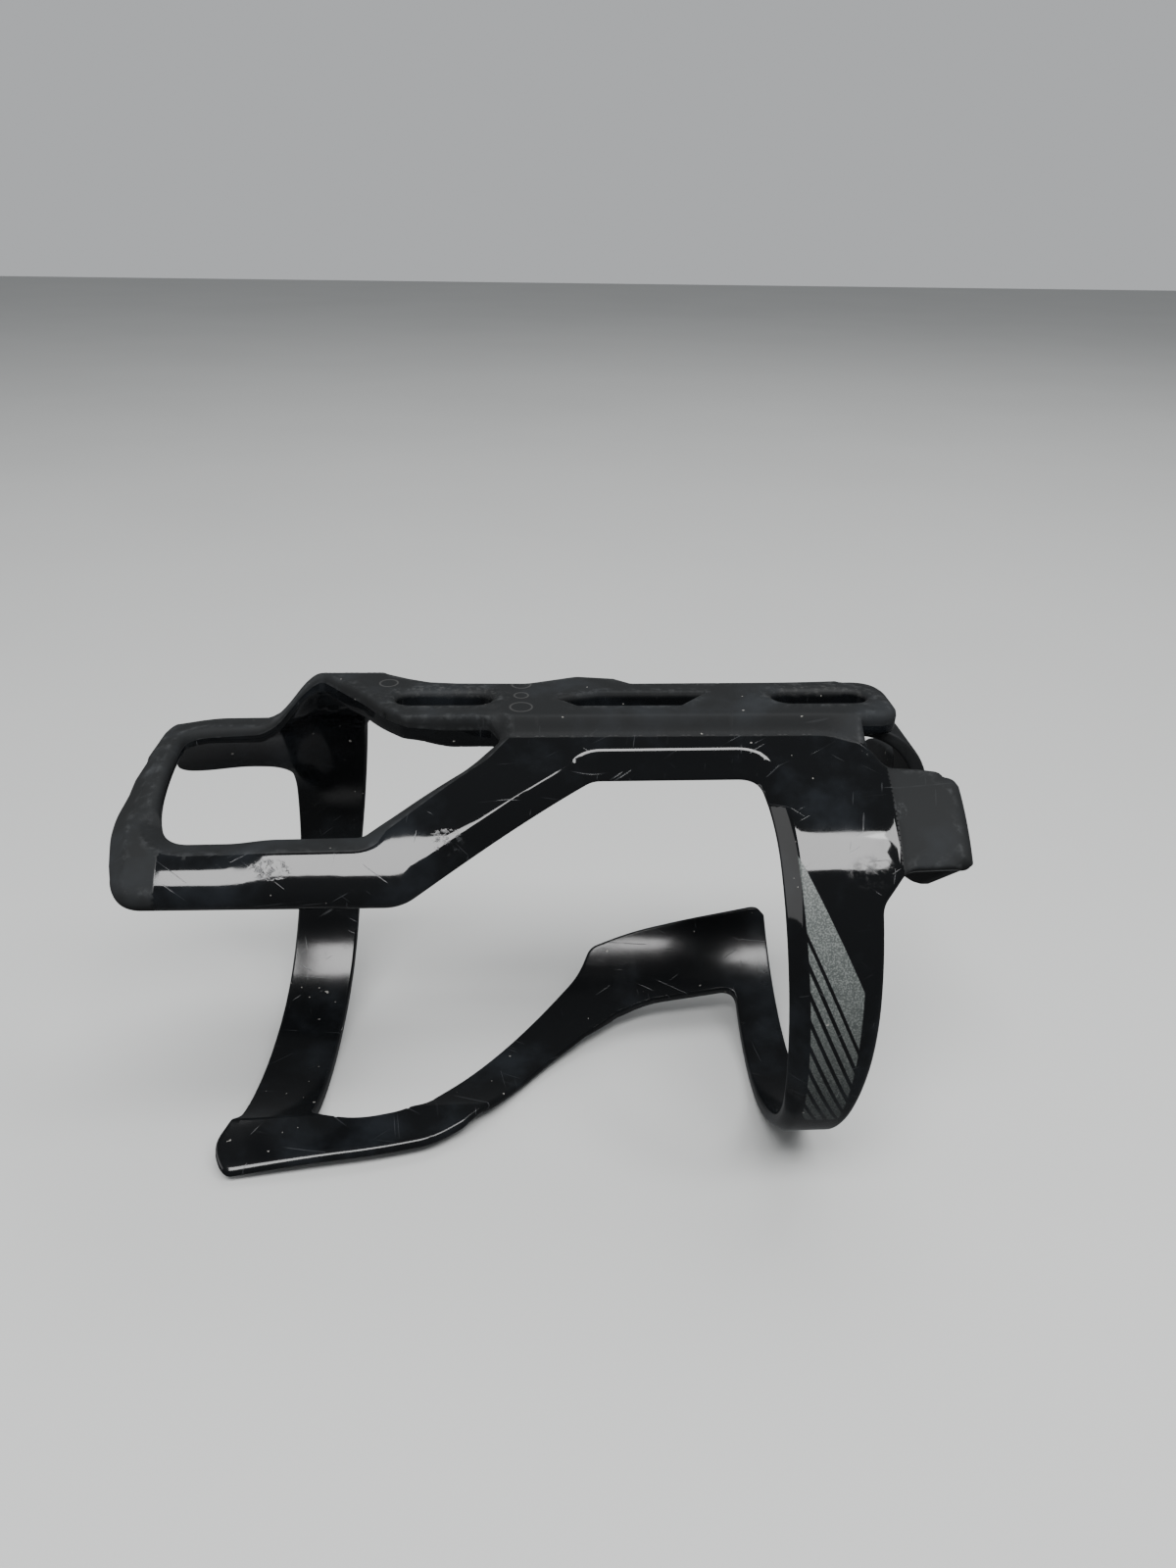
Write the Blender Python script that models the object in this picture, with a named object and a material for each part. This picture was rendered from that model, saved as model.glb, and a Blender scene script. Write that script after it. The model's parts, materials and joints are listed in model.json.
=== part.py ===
"""Side-entry water bottle cage: one plastic moulding, modelled as its named members.

Frame: the origin is the middle of the mounting face, between the two bolt slots. +Z leaves that
face towards the bicycle tube, +X points from the bottle's mouth to its base, and the bottle goes
in from the -Y side, with its axis along X at BOTTLE_RADIUS below the face's underside.

The cage is a wall wrapped round the bottle. Its developed blank is drawn flat, X along the bottle
and the angle round it as arc length, cut into members and then wrapped. Angle 0 is the middle of
the spine and grows towards -Y. Lengths are millimetres, angles degrees, until vertices are placed.
"""
import math

import bmesh
import bpy
from mathutils import Vector

MM = 0.001
GAP = 0.3                      # left between neighbouring members

# driving dimensions
BOTTLE_RADIUS = 36.8           # inside of the wall, for a 73 to 74 mm bottle
WALL = 3.0
FACE_HEIGHT = 43.0             # mounting face above the bottle's axis
SLOT_SPACING = 64.0            # bottle bosses of a bicycle frame
SLOT_LENGTH = 16.4
SLOT_WIDTH = 6.0
HOOK_DEPTH = 3.5               # the mouth end reaches into the bottle's groove by this much
HOOK_TAPER = 1.2
HOOK_CURL = 1.2                # and its far side by this much more
LIP_FLARE = 5.4                # lead-in lip's height over the wall
TONGUE_UNDERSIDE = 38.7
TONGUE_START = 36.5            # the spine is free of the wall beyond this
FOOT_INNER = 49.5              # inside face of the base stop
FOOT_OUTER = 52.1
FOOT_END = 49.2                # end of the side arm, against the base stop
FOOT_NEAR_Y, FOOT_FAR_Y = -3.5, 8.5                    # the foot strap's two sides
FOOT_CORNER = 11.2             # radius inside the foot strap's bend
FOOT_THIN = 1.8                # thickness of the foot strap
FOOT_LEVEL = TONGUE_UNDERSIDE - GAP - FACE_HEIGHT      # top of the foot strap, under the tongue

SEAM = -100.0                  # angle at which the blank is opened
FLAT_RADIUS = 38.3             # radius at which the blank is drawn
FLAT_WALL = 3.0
SLICE = 7.5                    # degrees between the wall's facets
ARC_STEPS = 3                  # segments in a rounded corner

# the spine's section, half of it: flat face, steep side, then the wall again
NEAR_FACE_ANGLE = 11.05
NEAR_SIDE_ANGLE = 13.2
NEAR_SIDE_RADIUS = 41.1
FAR_FACE_ANGLE = -15.6
FAR_SIDE_ANGLE = -18.6
SPINE_BLEND = 21.0             # the near side is back at the wall here
FAR_BLEND = 24.6
SPINE_THICKNESS = 6.2
LIP_CREASES = (153.0, 161.0)   # where the lip leaves the wall, at its mouth end and its base end
LIP_EDGE = 148.0

# the blank's two long edges, as (x, angle, corner radius)
MOUTH_EDGE = [
    (-66.6, -100, 0), (-65.5, -61, 8), (-75, -58.5, 0), (-86.5, -55, 3), (-84.8, -42, 0),
    (-81.4, -24, 0), (-80.6, -12, 0), (-80.8, 4, 0), (-81.3, 13, 0), (-82.7, 21.5, 0),
    (-83.4, 29, 0), (-83.1, 37, 0), (-82.3, 43, 0), (-80.9, 56.4, 5.5), (-37.5, 56.5, 9),
    (-7.5, 23.4, 4), (19.6, 23.2, 4), (21.3, 40, 0), (22.3, 72, 0), (23.4, 99, 0), (25.3, 132, 0),
    (25.8, 180, 0), (25.8, 211.5, 3), (7, 207.5, 0), (0.3, 203, 3), (-6.5, 195, 4), (-14.4, 184, 0),
    (-21.4, 170.5, 0), (-25.3, 162.5, 0), (-30.4, 156.5, 4), (-36, 151.8, 0), (-46.7, 148.7, 0),
    (-59, 146.8, 0), (-72.8, 145.6, 3.5), (-75.3, 149.4, 2.5), (-71.5, 154.8, 4), (-71.3, 166, 0),
    (-70.9, 177, 0), (-70.1, 191, 0), (-68.4, 216.5, 0), (-66.6, 260, 0)]
BASE_EDGE = [
    (-54, 260, 0), (-55.3, 224, 0), (-57.4, 190, 0), (-58.6, 156.5, 2), (-50, 156.8, 0),
    (-42, 160, 0), (-37.8, 163.2, 5), (-34.9, 169.2, 0), (-25, 186.8, 0), (-14.1, 205.5, 0),
    (-7.7, 216.5, 0), (-5, 226, 4), (4, 231, 0), (16, 235, 0), (31.5, 239, 2), (33.2, 236, 1),
    (34, 211, 0), (34.6, 180, 0), (36, 114, 0), (36.9, 90, 0), (37, 58, 4), (41, 49.6, 4),
    (FOOT_END, 49.3, 0), (FOOT_END, 25, 0), (47.5, 23.6, 0), (40.5, 22, 3), (37.9, 17.5, 1.5),
    (37.2, 11.9, 0.5), (44.2, 10.6, 6.5), (44.2, -10.2, 6.5), (30, -8.6, 0), (0, -8.3, 1),
    (-2.5, -12.4, 1), (-9.5, -12.8, 3), (-18, -8.6, 6), (-30, -8.9, 6), (-34.8, -9.7, 3),
    (-38.4, -11.8, 2), (-43.3, -15.6, 4), (-48.8, -42, 8), (-51.7, -75, 0), (-54, -100, 0)]
MOUTH_WINDOW = [
    (-76.4, -5, 4), (-76.6, 28, 0), (-74.6, 39.8, 5), (-43.8, 39.3, 3), (-22.2, 12.3, 1.5),
    (-24, 11.3, 0.5), (-38.2, 11.4, 3), (-42.4, 5, 0), (-46, -3, 0), (-49.3, -8.6, 0),
    (-54.2, -15.2, 1.2), (-61.5, -6, 4)]
SPINE_WINDOW = [(-13, 1, 0.5), (-9.5, 5.6, 0.5), (7.7, 5.6, 0.5), (12.9, -2.6, 0.5), (-5.9, -2.6, 0.5)]

# members of the wall: where each is cut from the blank (x, angle corners)
MEMBERS = {
    "mouth_boss": [(-53.2, -14.9), (-16.5, -14.9), (-16.5, 12), (-53.2, 12)],
    "mounting_spine": [(-16.1, -14.9), (15.5, -14.9), (15.5, 13.3), (-12.2, 13.3), (-12.2, 12),
                       (-16.1, 12)],
    "base_boss": [(15.9, -14.9), (46, -14.9), (46, 13.3), (15.9, 13.3)],
    "spine_neck": [(-64.4, -29.8), (-53.5, -29.8), (-53.5, 5), (-64.4, 5)],
    "mouth_hook": [(-90, -62), (-64.8, -62), (-64.8, 5), (-75.8, 5), (-75.8, -5.2), (-90, -5.2)],
    "mouth_hoop": [(-90, -4.7), (-76.2, -4.7), (-76.2, 5.5), (-70, 5.5), (-70, 44), (-90, 44)],
    "near_rail": [(-90, 44.5), (-70, 44.5), (-70, 36), (-41.2, 36), (-41.2, 62), (-90, 62)],
    "near_strut": [(-40.8, 62), (-40.8, 13.8), (-11, 13.8), (-11, 62)],
    "side_rail": [(-10.6, 62), (-10.6, 13.8), (19.8, 13.8), (19.8, 62)],
    "near_flank": [(20.2, 13.8), (40.2, 13.8), (40.2, 64.8), (20.2, 64.8)],
    "foot_arm": [(40.6, 13.8), (56, 13.8), (56, 64.8), (40.6, 64.8)],
    "ring_near": [(18, 65.3), (40, 65.3), (40, 119.8), (18, 119.8)],
    "ring_bottom": [(18, 120.2), (40, 120.2), (40, 179.8), (18, 179.8)],
    "ring_far": [(21, 180.2), (40, 180.2), (40, 245), (21, 245)],
    "far_shoulder": [(-6.2, 245), (-6.2, 185), (20.6, 185), (20.6, 245)],
    "front_strut": [(-36.2, 240), (-36.2, 145), (-6.6, 145), (-6.6, 240)],
    "front_lip": [(-80, 163.8), (-80, 140), (-36.6, 140), (-36.6, 163.8)],
    "front_strap": [(-80, 164.2), (-50, 164.2), (-50, 211.8), (-80, 211.8)],
    "far_strap": [(-80, 212.2), (-50, 212.2), (-50, 259.8), (-80, 259.8)],
    "upper_strap": [(-70, -99.8), (-40, -99.8), (-40, -15.3), (-53.1, -15.3), (-53.1, -30.2),
                    (-64.4, -30.2), (-64.4, -62.4), (-70, -62.4)],
}
NECK_LINES = (-78, -72, -66, -64, -61.5, -59, -56.5, -54, -51.5, -48, -44, -40)
LIP_LINES = (-33, -30, -27, -24)
MEMBER_LINES = {
    "spine_neck": NECK_LINES, "mouth_hook": NECK_LINES, "mouth_hoop": NECK_LINES,
    "near_rail": NECK_LINES, "upper_strap": NECK_LINES[2:8], "front_strut": LIP_LINES,
    "mouth_boss": (-50, -46, -42), "base_boss": (36.3, 36.7),
}
MATTE = {"mouth_boss", "mounting_spine", "base_boss", "spine_neck", "mouth_hoop", "foot_arm"}


def clear_scene():
    for item in list(bpy.data.objects):
        bpy.data.objects.remove(item, do_unlink=True)


def collection(name):
    group = bpy.data.collections.new(name)
    bpy.context.scene.collection.children.link(group)
    return group


def plastic(name, roughness):
    material = bpy.data.materials.new(name)
    material.use_nodes = True
    shader = material.node_tree.nodes["Principled BSDF"]
    shader.inputs["Base Color"].default_value = (0.012, 0.013, 0.014, 1.0)
    shader.inputs["Roughness"].default_value = roughness
    shader.inputs["Metallic"].default_value = 0.0
    return material


def ramp(value, start, end):
    """0 at start, 1 at end, smooth between; start may be the larger."""
    t = min(1.0, max(0.0, (value - start) / (end - start)))
    return t * t * (3.0 - 2.0 * t)


def mix(a, b, t):
    return a + (b - a) * t


def spine_radius(angle):
    """Distance from the bottle's axis to the spine's outside."""
    wall = BOTTLE_RADIUS + WALL
    face, side, blend = NEAR_FACE_ANGLE, NEAR_SIDE_ANGLE, SPINE_BLEND
    if angle < 0:
        face, side, blend = -FAR_FACE_ANGLE, -FAR_SIDE_ANGLE, FAR_BLEND
    size = abs(angle)
    corner = FACE_HEIGHT / math.cos(math.radians(face))
    if size <= face:
        return FACE_HEIGHT / math.cos(math.radians(size))
    if size <= side:
        return mix(corner, NEAR_SIDE_RADIUS, (size - face) / (side - face))
    return mix(NEAR_SIDE_RADIUS, wall, ramp(size, side, blend))


def spine_hollow(x, angle):
    """How far the spine's flat underside lies outside the bottle."""
    thickness = SPINE_THICKNESS - 1.6 * ramp(x, -30, -38) - 1.3 * ramp(x, -48, -54)
    underside = (FACE_HEIGHT - thickness) / math.cos(math.radians(max(-18.0, min(18.0, angle))))
    weight = ramp(x, -62, -55) * ramp(angle, 19, 12.5) * ramp(angle, -24, -15)
    return (underside - BOTTLE_RADIUS) * weight


def hook_drop(x, angle):
    """How far the mouth end is drawn in to the bottle's groove."""
    if angle > 100:
        return 0.0
    round_it = ramp(angle, 52, 24) * ramp(angle, -78, -58)
    curl = HOOK_CURL * ramp(x, -66, -86) * ramp(angle, -15, -45)
    return (HOOK_DEPTH * ramp(x, -57, -65) + HOOK_TAPER * ramp(x, -72, -84) + curl) * round_it


def lip_rise(x, angle):
    """How far the front lip flares out of the wall."""
    crease = mix(LIP_CREASES[0], LIP_CREASES[1], ramp(x, -72, -38))
    if not 140 < angle < crease:
        return 0.0
    return LIP_FLARE * (crease - angle) / (crease - LIP_EDGE) * ramp(x, -20, -32)


def outer_radius(x, angle):
    wall = BOTTLE_RADIUS + WALL
    spine = mix(wall, spine_radius(angle), ramp(x, -61.5, -54)) if abs(angle) < 90 else wall
    return spine - hook_drop(x, angle) + lip_rise(x, angle)


def inner_radius(x, angle):
    if x > TONGUE_START and abs(angle) < 12.5:
        return TONGUE_UNDERSIDE / math.cos(math.radians(angle))
    hollow = spine_hollow(x, angle) if abs(angle) < 30 else 0.0
    return BOTTLE_RADIUS + hollow - hook_drop(x, angle) + lip_rise(x, angle)


def flat(x, angle):
    return Vector((x, math.radians(angle) * FLAT_RADIUS))


def rounded(corners):
    """The outline's points, with an arc in place of each corner that has a radius."""
    points = [flat(x, angle) for x, angle, _ in corners]
    outline = []
    for index, (point, corner) in enumerate(zip(points, corners)):
        before = points[index - 1] - point
        after = points[(index + 1) % len(points)] - point
        opening = before.angle(after)
        if corner[2] == 0 or opening > math.radians(176):
            outline.append(point)
            continue
        reach = min(corner[2] / math.tan(opening / 2), 0.48 * before.length, 0.48 * after.length)
        start, end = point + before.normalized() * reach, point + after.normalized() * reach
        for step in range(ARC_STEPS + 1):
            t = step / ARC_STEPS
            outline.append(start * (1 - t) ** 2 + point * 2 * t * (1 - t) + end * t ** 2)
    return outline


def slot_outline(centre):
    """A bolt slot with round ends, drawn on the spine."""
    half = (SLOT_LENGTH - SLOT_WIDTH) / 2
    outline = []
    for side in (1, -1):
        for step in range(7):
            turn = math.pi * (step / 6 - 0.5)
            outline.append(Vector((centre + side * (half + SLOT_WIDTH / 2 * math.cos(turn)),
                                   side * SLOT_WIDTH / 2 * math.sin(turn))))
    return [Vector((p.x, math.atan2(p.y, FACE_HEIGHT) * FLAT_RADIUS)) for p in outline]


def plate(name, outlines, low, high, group):
    """A flat plate with holes, from a filled 2D curve, as a closed mesh."""
    curve = bpy.data.curves.new(name, "CURVE")
    curve.dimensions = "2D"
    curve.fill_mode = "BOTH"
    curve.extrude = (high - low) / 2
    for outline in outlines:
        spline = curve.splines.new("POLY")
        spline.points.add(len(outline) - 1)
        spline.use_cyclic_u = True
        for item, point in zip(spline.points, outline):
            item.co = (point.x, point.y, 0.0, 1.0)
    drawn = bpy.data.objects.new(name + "_curve", curve)
    group.objects.link(drawn)
    bpy.context.view_layer.update()
    mesh = bpy.data.meshes.new_from_object(drawn.evaluated_get(bpy.context.evaluated_depsgraph_get()))
    bpy.data.objects.remove(drawn, do_unlink=True)
    bm = bmesh.new()
    bm.from_mesh(mesh)
    bmesh.ops.translate(bm, verts=bm.verts, vec=(0, 0, (high + low) / 2))
    bmesh.ops.remove_doubles(bm, verts=bm.verts, dist=0.0001)
    bmesh.ops.recalc_face_normals(bm, faces=bm.faces)
    bm.to_mesh(mesh)
    bm.free()
    made = bpy.data.objects.new(name, mesh)
    group.objects.link(made)
    return made


def cutter(made):
    made.hide_render = True
    made.display_type = "WIRE"
    return made


def boolean(target, tool, operation):
    """The target's mesh after one exact Boolean, applied."""
    modifier = target.modifiers.new("cut", "BOOLEAN")
    modifier.operation = operation
    modifier.solver = "EXACT"
    modifier.object = tool
    bpy.context.view_layer.update()
    mesh = bpy.data.meshes.new_from_object(target.evaluated_get(bpy.context.evaluated_depsgraph_get()))
    target.modifiers.remove(modifier)
    return mesh


def split(bm, axis, value):
    """Edges across the flat member where its wrapped wall bends."""
    normal = (1, 0, 0) if axis == 0 else (0, 1, 0)
    place = tuple(value * n for n in normal)
    everything = bm.verts[:] + bm.edges[:] + bm.faces[:]
    bmesh.ops.bisect_plane(bm, geom=everything, dist=0.0005, plane_co=place, plane_no=normal)


def bend_angles():
    turns = [SEAM + SLICE * step for step in range(1, 48)]
    turns += [NEAR_FACE_ANGLE, NEAR_SIDE_ANGLE, FAR_FACE_ANGLE, FAR_SIDE_ANGLE, SPINE_BLEND]
    return turns + [-FAR_BLEND, *LIP_CREASES, sum(LIP_CREASES) / 2]


def wrap_point(co):
    """From the flat blank to the bottle, in metres."""
    x, angle = co.x, math.degrees(co.y / FLAT_RADIUS)
    radius = mix(inner_radius(x, angle), outer_radius(x, angle), co.z / FLAT_WALL)
    turn = math.radians(angle)
    return Vector((x, -radius * math.sin(turn), radius * math.cos(turn) - FACE_HEIGHT)) * MM


def wrap(mesh, lines):
    bm = bmesh.new()
    bm.from_mesh(mesh)
    bmesh.ops.dissolve_limit(bm, angle_limit=0.01, verts=bm.verts, edges=bm.edges)
    for angle in bend_angles():
        split(bm, 1, math.radians(angle) * FLAT_RADIUS)
    for line in lines:
        split(bm, 0, line)
    bmesh.ops.remove_doubles(bm, verts=bm.verts, dist=0.02)
    bmesh.ops.triangulate(bm, faces=bm.faces)
    for vert in bm.verts:
        vert.co = wrap_point(vert.co)
    bmesh.ops.reverse_faces(bm, faces=bm.faces)          # the angle grows towards -Y, a mirror
    bm.to_mesh(mesh)
    bm.free()


def finish(made, material):
    made.data.materials.clear()
    made.data.materials.append(material)
    made.data.set_sharp_from_angle(angle=math.radians(30))


def wall_members(parts, tools, gloss, matte):
    """Every member of the wrapped wall, cut from the one blank."""
    holes = [rounded(MOUTH_WINDOW), rounded(SPINE_WINDOW)]
    holes += [slot_outline(side * SLOT_SPACING / 2) for side in (-1, 1)]
    blank = cutter(plate("blank", [rounded(MOUTH_EDGE + BASE_EDGE)] + holes, 0.0, FLAT_WALL, tools))
    for name, corners in MEMBERS.items():
        region = cutter(plate(name + "_region", [[flat(x, a) for x, a in corners]], -1.0, 4.0, tools))
        mesh = boolean(blank, region, "INTERSECT")
        wrap(mesh, MEMBER_LINES.get(name, ()))
        made = bpy.data.objects.new(name, mesh)
        parts.objects.link(made)
        finish(made, matte if name in MATTE else gloss)


def upright(made, axis):
    """Stand a plate up: its thickness along X or Y, its drawing on the other axis and Z."""
    for vert in made.data.vertices:
        u, v, w = vert.co
        vert.co = Vector((w, u, v) if axis == "X" else (u, -w, v)) * MM
    made.data.update()
    bm = bmesh.new()
    bm.from_mesh(made.data)
    bmesh.ops.recalc_face_normals(bm, faces=bm.faces)
    bm.to_mesh(made.data)
    bm.free()


def arc(centre, radius, start, end, steps):
    turns = [math.radians(mix(start, end, step / steps)) for step in range(steps + 1)]
    return [Vector((centre[0] + radius * math.cos(t), centre[1] + radius * math.sin(t))) for t in turns]


def foot_strap(parts, material):
    """The strap from under the spine's tongue round the bottle's base corner."""
    start = TONGUE_START + GAP
    centre = (FOOT_INNER - FOOT_CORNER, FOOT_LEVEL - FOOT_THIN - FOOT_CORNER)
    outline = [Vector((start, FOOT_LEVEL)), Vector((start, FOOT_LEVEL - FOOT_THIN))]
    outline += arc(centre, FOOT_CORNER, 90, 0, 6)
    reach = FOOT_CORNER + FOOT_THIN
    outline += arc((FOOT_OUTER - reach, centre[1]), reach, 0, 90, 6)
    made = plate("foot_strap", [outline], -FOOT_FAR_Y, -FOOT_NEAR_Y, parts)
    upright(made, "Y")
    finish(made, material)


def base_stop(parts, material):
    """The wall across the bottle's base, from the side arm to the strap."""
    rim = BOTTLE_RADIUS + WALL - 0.2
    outline = [Vector((-rim * math.sin(math.radians(a)), rim * math.cos(math.radians(a)) - FACE_HEIGHT))
               for a in (27, 33, 39, 45, 50)]
    top = FOOT_LEVEL - FOOT_THIN - FOOT_CORNER - GAP
    lower = [(-12.5, -30.5), (-8, -32.5), (-3, -33.8), (6, -34.6), (16, -34.6), (25, -32.5)]
    far_side = [(30, -28), (30.5, -24.5), (28, -21), (23, -18.4), (16, -16.6)]
    upper = [(FOOT_FAR_Y + GAP, -16), (FOOT_FAR_Y + GAP, top), (FOOT_NEAR_Y - GAP, top),
             (FOOT_NEAR_Y - GAP, -15), (-10, -11.6)]
    outline += [Vector(corner) for corner in lower + far_side + upper]
    made = plate("base_stop", [outline], FOOT_INNER, FOOT_OUTER, parts)
    upright(made, "X")
    finish(made, material)


def main():
    clear_scene()
    parts = collection("water_bottle_cage")
    tools = collection("cutters")
    gloss, matte = plastic("gloss_plastic", 0.12), plastic("matte_plastic", 0.5)
    wall_members(parts, tools, gloss, matte)
    foot_strap(parts, gloss)
    base_stop(parts, matte)


main()
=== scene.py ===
"""Looks of the side-entry water bottle cage: its moulded surface, plastic, floor, light and camera.

The cage is one plastic moulding. Its wall is drawn here as one flat blank, X along the bottle and
the angle round it as arc length, with every edge's bevel or round. The blank is triangulated,
wrapped round the bottle's axis, and handed out to the members that the frame names, so that each
member is its own closed piece and no seam shows between two of them.
Lengths are millimetres and angles degrees until vertices are placed.
"""
import json
import math

import bmesh
import bpy
import numpy as np
from mathutils import Matrix, Vector
from mathutils.geometry import delaunay_2d_cdt


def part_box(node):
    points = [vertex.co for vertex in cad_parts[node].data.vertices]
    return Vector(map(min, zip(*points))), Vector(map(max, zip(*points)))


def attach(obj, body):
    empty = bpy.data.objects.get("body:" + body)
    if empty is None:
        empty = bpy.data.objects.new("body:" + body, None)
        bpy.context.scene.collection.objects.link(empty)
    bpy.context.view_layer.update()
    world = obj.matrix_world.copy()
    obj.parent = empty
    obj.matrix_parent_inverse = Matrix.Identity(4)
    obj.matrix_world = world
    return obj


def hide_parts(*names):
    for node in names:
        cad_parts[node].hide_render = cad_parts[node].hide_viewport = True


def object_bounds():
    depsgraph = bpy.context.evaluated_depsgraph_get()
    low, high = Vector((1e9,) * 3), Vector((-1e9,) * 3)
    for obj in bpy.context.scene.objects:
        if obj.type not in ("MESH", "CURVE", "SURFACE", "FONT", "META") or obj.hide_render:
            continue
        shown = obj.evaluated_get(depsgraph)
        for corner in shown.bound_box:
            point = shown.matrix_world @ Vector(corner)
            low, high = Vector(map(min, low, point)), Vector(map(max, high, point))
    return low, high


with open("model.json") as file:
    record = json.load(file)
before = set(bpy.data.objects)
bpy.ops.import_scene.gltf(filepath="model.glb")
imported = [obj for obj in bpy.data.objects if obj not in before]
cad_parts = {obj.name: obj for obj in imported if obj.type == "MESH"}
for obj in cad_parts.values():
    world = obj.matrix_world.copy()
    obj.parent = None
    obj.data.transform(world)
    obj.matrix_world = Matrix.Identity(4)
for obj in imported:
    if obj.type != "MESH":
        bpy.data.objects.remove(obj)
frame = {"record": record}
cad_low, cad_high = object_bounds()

MM = 0.001
BODY = "root"
FACE_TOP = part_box("mounting_spine")[1].z / MM

# the wall's sizes, as in the frame
BOTTLE_RADIUS = 36.8
OUTSIDE = 39.8
FACE_HEIGHT = 43.0
SLOT_SPACING = 64.0
SLOT_LENGTH = 16.4
SLOT_WIDTH = 6.0
HOOK_DEPTH = 3.5
HOOK_TAPER = 1.2
HOOK_CURL = 1.2
LIP_FLARE = 5.4
TONGUE_UNDERSIDE = 38.7
TONGUE_START = 36.5
FOOT_CORNER = 11.2
STRAP_TAIL = 4.0               # how far the strap runs down past its solid, into the base stop
STRAP_EDGE, STRAP_SATIN = 0.5, 0.7
STOP_EDGE, STOP_SATIN = 0.6, 0.8
STOP_INSETS = (0.1, 0.15)      # of the base stop's two faces from its solid's
STRAP_GAP = 0.4                # between the strap's solid and the notch for it in the base stop
ARM_START = 40.4               # where the foot arm steps down from the flank
SEAM = -100.0
FLAT_RADIUS = 38.3
NEAR_FACE_ANGLE = 11.05
NEAR_SIDE_ANGLE = 13.2
NEAR_SIDE_FLARE = 3.0          # the side wall spreads by this much at the foot notch
NEAR_SIDE_RADIUS = 41.1
FAR_FACE_ANGLE = 15.6
FAR_SIDE_ANGLE = 18.6
SPINE_BLEND = 21.0
SPINE_THICKNESS = 6.2
LIP_CREASES = (153.0, 161.0)   # where the lip leaves the wall, at its mouth end and its base end
LIP_EDGE = 148.0
CREASE_ROUND = 0.55            # degrees over which the spine's edges are rounded
CHAMFER_ROUND = 0.22           # over which the upper edge of a chamfer is rounded
ARM_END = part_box("base_stop")[1].x / MM
HOOP_END = -74.2               # the rail is polished from here on
SEAM_ARCS = [round(math.radians(angle) * FLAT_RADIUS, 4) for angle in (SEAM, SEAM + 360.0)]

# edge styles: width and depth of the bevel, and 0 for a round to 1 for a chamfer
SMALL = (0.7, 0.7, 0.0)
FINE = (0.4, 0.4, 0.0)
HOOP_RIM = (1.5, 1.4, 0.0)
FACET_START = (1.3, 0.9, 0.3)
FACET_ONWARD = (2.1, 1.3, 0.6)
FACET = (3.0, 2.0, 1.0)
ROLLED = (2.6, 2.5, 0.1)
STRUT = (2.2, 2.5, 1.0)
UNDER_RAIL = (3.3, 2.7, 1.0)
DEEP = (3.7, 2.75, 1.0)
RING = (2.5, 2.5, 1.0)
RING_END = (1.8, 1.6, 0.4)
THIN_LIP = (2.8, 1.9, 0.2)
UNDER_STRUT = (3.0, 2.3, 0.3)
RAIL_TOP = (2.9, 2.6, 1.0)
APEX = (1.8, 2.1, 0.8)
FLANK = (1.3, 1.3, 0.0)
ARM_CORNER = (2.4, 2.4, 0.0)
NOTCH = (1.2, 0.9, 0.4)
TONGUE = (1.6, 1.5, 0.0)
SLOT = (1.5, 0.8, 0.0)

# the blank's outlines: (x, angle, corner radius, edge style)
MOUTH_EDGE = [
    (-66.6, -100, 0, SMALL), (-65.5, -61, 8, SMALL), (-75, -58.5, 0, SMALL), (-86.5, -55, 3, SMALL),
    (-84.8, -42, 0, SMALL), (-81.4, -24, 0, SMALL), (-80.6, -12, 0, SMALL), (-80.8, 4, 0, FACET_START),
    (-81.45, 13, 0, FACET_ONWARD), (-82.5, 21.5, 0, FACET), (-83.4, 29, 0, FACET),
    (-83.1, 37, 0, FACET), (-82.3, 43, 0, FACET), (-80.9, 56.4, 5.5, ROLLED),
    (-37.5, 56.5, 9, ROLLED), (-33, 51.5, 0, UNDER_RAIL), (-12, 28.4, 0, UNDER_RAIL),
    (-7.5, 23.4, 4, DEEP), (19.6, 23.2, 4, DEEP), (21.3, 40, 0, RING), (22.3, 72, 0, RING),
    (23.4, 99, 0, RING), (25.3, 132, 0, RING_END), (25.8, 180, 0, SMALL),
    (25.8, 211.5, 3, SMALL), (7, 207.5, 0, SMALL), (0.3, 203, 3, SMALL),
    (-6.5, 195, 4, UNDER_STRUT), (-14.4, 184, 0, UNDER_STRUT), (-21.4, 170.5, 0, UNDER_STRUT),
    (-25.3, 162.5, 0, UNDER_STRUT), (-30.4, 156.5, 4, THIN_LIP),
    (-36, 151.8, 0, THIN_LIP), (-46.7, 148.7, 0, THIN_LIP), (-59, 146.8, 0, THIN_LIP),
    (-72.8, 145.6, 3.5, THIN_LIP), (-75.3, 149.4, 2.5, THIN_LIP), (-71.5, 154.8, 4, SMALL),
    (-71.3, 166, 0, SMALL), (-70.9, 177, 0, SMALL), (-70.1, 191, 0, SMALL), (-68.4, 216.5, 0, SMALL),
    (-66.6, 260, 0, SMALL)]
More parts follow.
